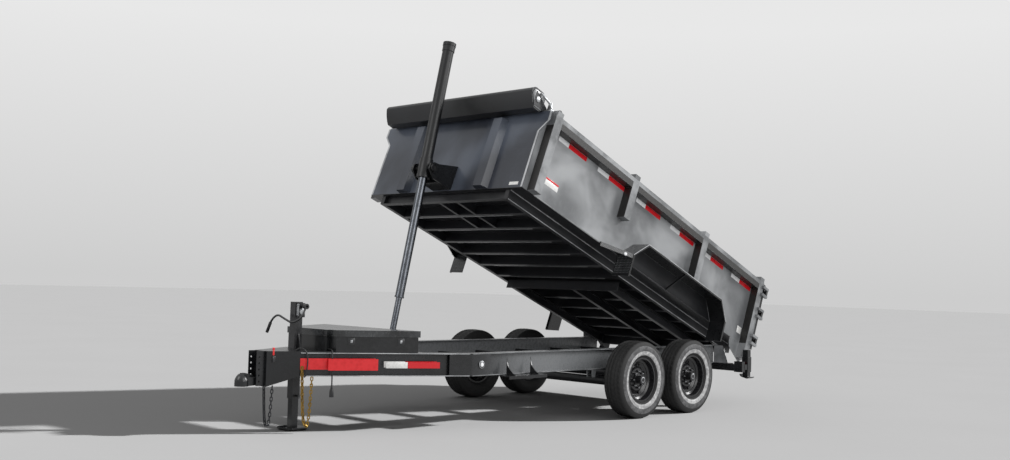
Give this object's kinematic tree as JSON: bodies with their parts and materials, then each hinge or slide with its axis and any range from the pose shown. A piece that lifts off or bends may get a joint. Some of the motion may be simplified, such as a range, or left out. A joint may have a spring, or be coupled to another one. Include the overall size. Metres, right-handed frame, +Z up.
{
  "type": "tandem-axle dump trailer",
  "caption": "low tandem-axle dump trailer with high steel sides, its bed raised by a front telescopic cylinder, barn doors, A-frame tongue with a lidded toolbox and a drop-leg jack",
  "frame": {"origin": "on the floor, under the middle of the whole trailer as drawn with its bed raised", "axes": "+X forward to the hitch, +Y to the trailer's left, +Z up"},
  "size_m": [6.4952, 2.5844, 3.7144],
  "materials": {
    "black_paint": "gloss powder coat",
    "jack_paint": "satin paint",
    "tyre_rubber": "matt",
    "gold_plate": "yellow zinc plate",
    "dark_chain": "dull",
    "cord_jacket": "matt",
    "lamp_red": "lens",
    "tarp_cover": "satin",
    "cylinder_paint": "gloss",
    "polished_stage": "polished"
  },
  "bodies": {
    "frame": {"frame_beam_left": "black_paint", "frame_beam_right": "black_paint", "tongue_nose": "black_paint", "ball_coupler": "black_paint", "jack_housing": "jack_paint", "toolbox": "black_paint", "power_unit": "black_paint", "cross_members": "black_paint", "side_steps": "black_paint", "tail_frame": "black_paint", "cylinder_base": "black_paint", "axles": "black_paint", "leaf_springs": "black_paint", "safety_chain_gold": "gold_plate", "safety_chain_dark": "dark_chain", "trailer_cord": "cord_jacket", "frame_lamps": "lamp_red"},
    "jack_leg": {"jack_leg": "black_paint"},
    "toolbox_lid": {"toolbox_lid": "black_paint"},
    "stabilizer_left": {"stabilizer_leg_left": "black_paint"},
    "stabilizer_right": {"stabilizer_leg_right": "black_paint"},
    "wheel_front_left": {"tyre_front_left": "tyre_rubber", "rim_front_left": "black_paint"},
    "wheel_front_right": {"tyre_front_right": "tyre_rubber", "rim_front_right": "black_paint"},
    "wheel_rear_left": {"tyre_rear_left": "tyre_rubber", "rim_rear_left": "black_paint"},
    "wheel_rear_right": {"tyre_rear_right": "tyre_rubber", "rim_rear_right": "black_paint"},
    "bed": {"bed_frame": "black_paint", "lift_frame": "black_paint", "bed_floor": "black_paint", "side_wall_left": "black_paint", "side_wall_right": "black_paint", "front_wall": "black_paint", "cylinder_bracket": "black_paint", "tarp_housing": "tarp_cover", "fender_left": "black_paint", "fender_right": "black_paint"},
    "door_left": {"door_left": "black_paint"},
    "door_right": {"door_right": "black_paint"},
    "cylinder_barrel": {"cylinder_barrel": "cylinder_paint"},
    "cylinder_sleeve": {"cylinder_sleeve": "polished_stage"},
    "cylinder_stage1": {"cylinder_stage1": "polished_stage"},
    "cylinder_stage2": {"cylinder_stage2": "polished_stage"}
  },
  "joints": [
    {"name": "wheel_front_left_spin", "type": "hinge", "parent": "frame", "child": "wheel_front_left", "pos_m": [-0.69532, 1.1725, 0.39], "axis": [0, 1, 0], "continuous": true},
    {"name": "wheel_front_right_spin", "type": "hinge", "parent": "frame", "child": "wheel_front_right", "pos_m": [-0.69532, -1.1725, 0.39], "axis": [0, 1, 0], "continuous": true},
    {"name": "wheel_rear_left_spin", "type": "hinge", "parent": "frame", "child": "wheel_rear_left", "pos_m": [-1.58532, 1.1725, 0.39], "axis": [0, 1, 0], "continuous": true},
    {"name": "wheel_rear_right_spin", "type": "hinge", "parent": "frame", "child": "wheel_rear_right", "pos_m": [-1.58532, -1.1725, 0.39], "axis": [0, 1, 0], "continuous": true},
    {"name": "bed_tilt", "type": "hinge", "parent": "frame", "child": "bed", "pos_m": [-2.55932, 0, 0.585], "axis": [0, -1, 0], "range_deg": [-21.7, 23.3]},
    {"name": "cylinder_swing", "type": "hinge", "parent": "bed", "child": "cylinder_barrel", "pos_m": [1.20946, 0, 2.4195], "axis": [0, -1, 0], "range_deg": [-11.28, 10.52]},
    {"name": "sleeve_slide", "type": "slide", "parent": "cylinder_barrel", "child": "cylinder_sleeve", "axis": [0.2135, 0, -0.977], "range_m": [-0.6385, 0.68554]},
    {"name": "stage1_slide", "type": "slide", "parent": "cylinder_barrel", "child": "cylinder_stage1", "axis": [0.2135, 0, -0.977], "range_m": [-1.1795, 1.26643]},
    {"name": "stage2_slide", "type": "slide", "parent": "cylinder_stage1", "child": "cylinder_stage2", "axis": [0.2135, 0, -0.977], "range_m": [-0.3887, 0.41733]},
    {"name": "door_left_swing", "type": "hinge", "parent": "bed", "child": "door_left", "pos_m": [-2.91814, 1.192, 0.5563], "axis": [0.3697, 0, -0.9291], "range_deg": [0, 240]},
    {"name": "door_right_swing", "type": "hinge", "parent": "bed", "child": "door_right", "pos_m": [-2.91814, -1.192, 0.5563], "axis": [-0.3697, 0, 0.9291], "range_deg": [0, 240]},
    {"name": "toolbox_lid_swing", "type": "hinge", "parent": "frame", "child": "toolbox_lid", "pos_m": [1.82568, 0, 0.867], "axis": [0, -1, 0], "range_deg": [0, 75]},
    {"name": "jack_slide", "type": "slide", "parent": "frame", "child": "jack_leg", "axis": [0, 0, 1], "range_m": [0, 0.25]},
    {"name": "stabilizer_left_slide", "type": "slide", "parent": "frame", "child": "stabilizer_left", "axis": [0, 0, -1], "range_m": [0, 0.21]},
    {"name": "stabilizer_right_slide", "type": "slide", "parent": "frame", "child": "stabilizer_right", "axis": [0, 0, -1], "range_m": [0, 0.21]}
  ],
  "couplings": [
    {"joint": "cylinder_swing", "follows": "bed_tilt", "ratio": -0.48},
    {"joint": "sleeve_slide", "follows": "bed_tilt", "m_per_rad": 1.6845},
    {"joint": "stage1_slide", "follows": "bed_tilt", "m_per_rad": 3.113},
    {"joint": "stage2_slide", "follows": "bed_tilt", "m_per_rad": 1.025}
  ]
}
